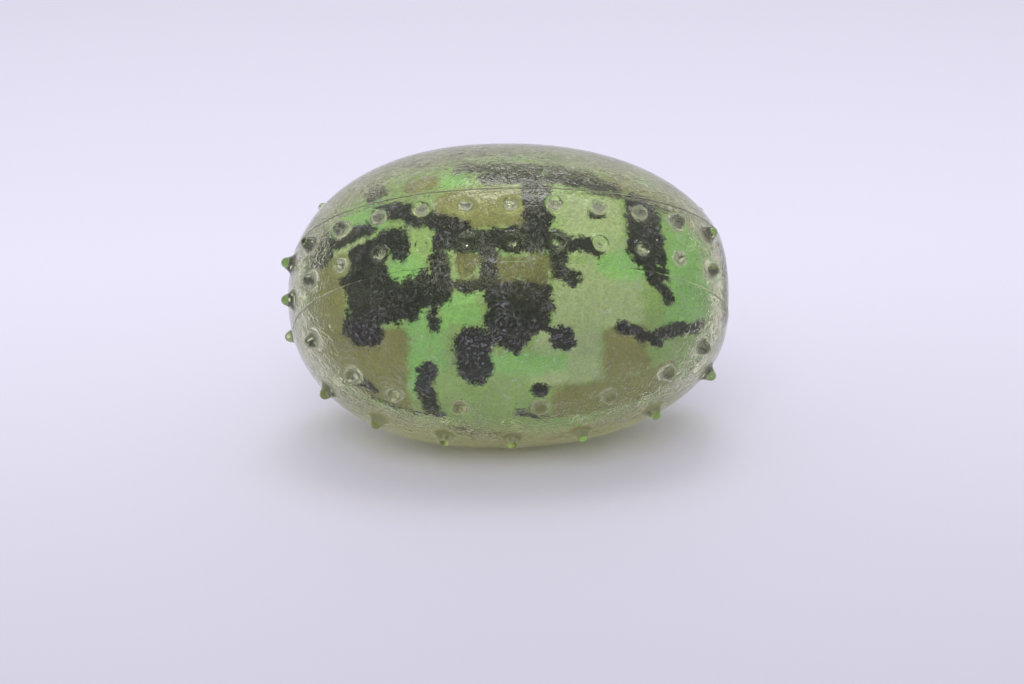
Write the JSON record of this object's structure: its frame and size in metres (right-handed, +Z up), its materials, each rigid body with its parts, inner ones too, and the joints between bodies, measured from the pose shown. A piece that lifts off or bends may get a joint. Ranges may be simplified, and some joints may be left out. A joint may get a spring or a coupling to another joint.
{
  "type": "stress ball",
  "caption": "Egg-shaped squeeze ball with a clear nubbed skin over a camouflage-printed film and a gel core, lying on its side with one flattened end.",
  "frame": {"origin": "centre of the bounding box's underside, on the table that the ball lies on", "axes": "+X along the ball's long axis, from the round end to the flat end; +Z up; the nubbed band crosses the upper front, facing -Y"},
  "size_m": [0.072, 0.0492, 0.0486],
  "materials": {
    "skin": "clear elastomer with a fine frosted grain, glossy on the nubs",
    "plug": "clear elastomer, satin",
    "film": "camouflage print in black, olive, bright green and pale grey-green",
    "gel": "hazy soft gel"
  },
  "bodies": {
    "ball": {"skin_shell_front": "skin", "skin_band": "skin", "fill_plug": "plug", "print_film_front": "film", "print_film_back": "film", "gel_core": "gel"},
    "pressed_side": {"skin_shell_back": "skin"}
  },
  "joints": [
    {"name": "squeeze", "type": "slide", "parent": "ball", "child": "pressed_side", "axis": [0, 0, -1], "range_m": [0, 0.014], "stiffness_N_per_m": 2500, "deforming": ["skin_shell_back", "skin_shell_front", "skin_band", "fill_plug", "print_film_front", "print_film_back", "gel_core"]}
  ]
}
